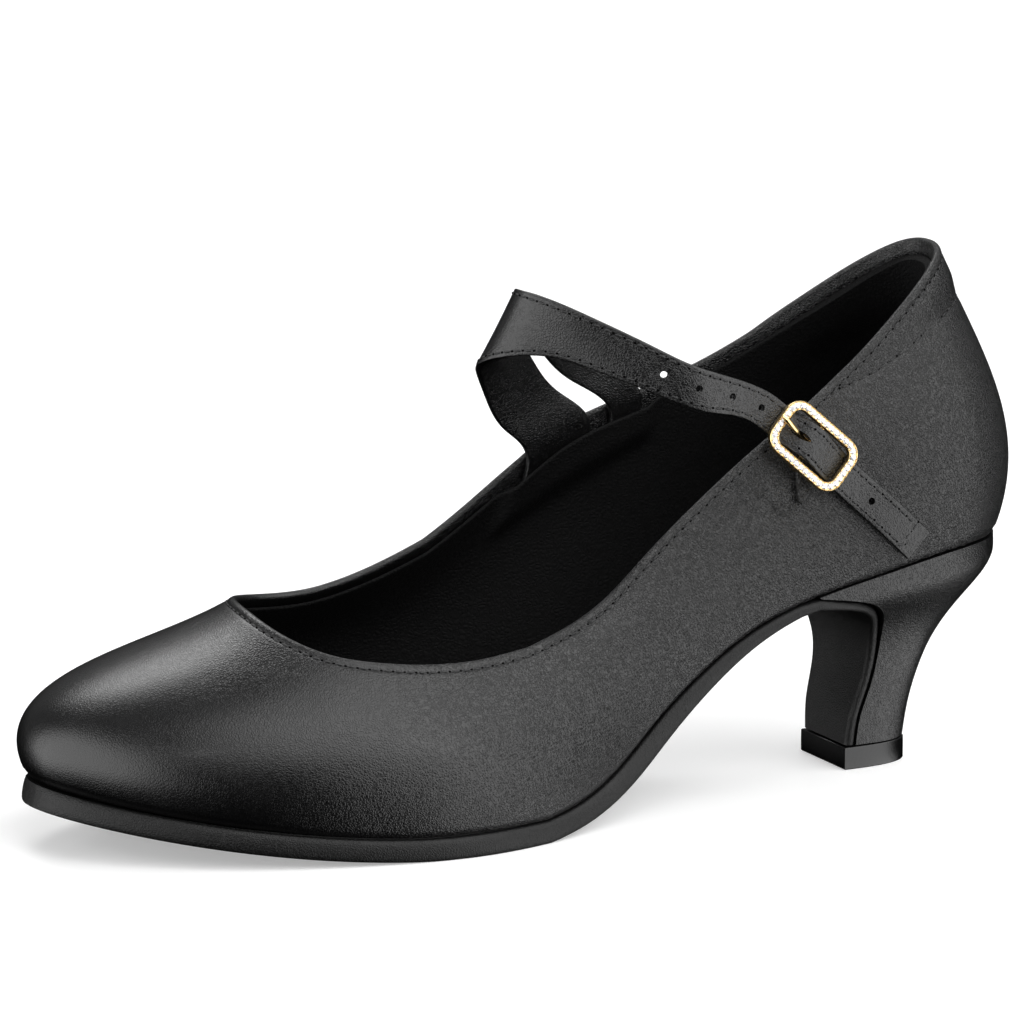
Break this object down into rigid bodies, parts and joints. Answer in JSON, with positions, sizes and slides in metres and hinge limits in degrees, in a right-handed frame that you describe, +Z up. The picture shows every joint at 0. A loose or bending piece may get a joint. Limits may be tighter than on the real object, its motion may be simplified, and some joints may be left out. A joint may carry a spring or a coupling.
{
  "type": "dance shoe",
  "caption": "Left pump-style dance shoe with a flared covered heel, a thin leather sole, a forked instep strap and a crystal-set pin buckle.",
  "frame": {"origin": "on the floor, at the middle of the flat spot of the tread under the ball of the foot", "axes": "the toe points to -X and the heel to +X, the outer side of the foot is -Y, +Z is up"},
  "size_m": [0.2355, 0.0839, 0.1182],
  "materials": {
    "upper_leather": "smooth black leather, satin",
    "sole_leather": "black dyed sole edge, matte",
    "sock_lining": "black lining leather, matte",
    "heel_cover": "black cover leather, satin",
    "top_lift": "hard black heel tip, half gloss",
    "strap_leather": "smooth black leather, satin",
    "buckle_metal": "polished gold-coloured plate",
    "prong_metal": "polished gold-coloured wire",
    "keeper_leather": "black leather tab, matte"
  },
  "bodies": {
    "root": {"upper": "upper_leather", "outsole": "sole_leather", "insole": "sock_lining", "heel": "heel_cover", "top_lift": "top_lift", "strap": "strap_leather", "buckle_frame": "buckle_metal", "prong": "prong_metal", "keeper": "keeper_leather"}
  },
  "joints": []
}
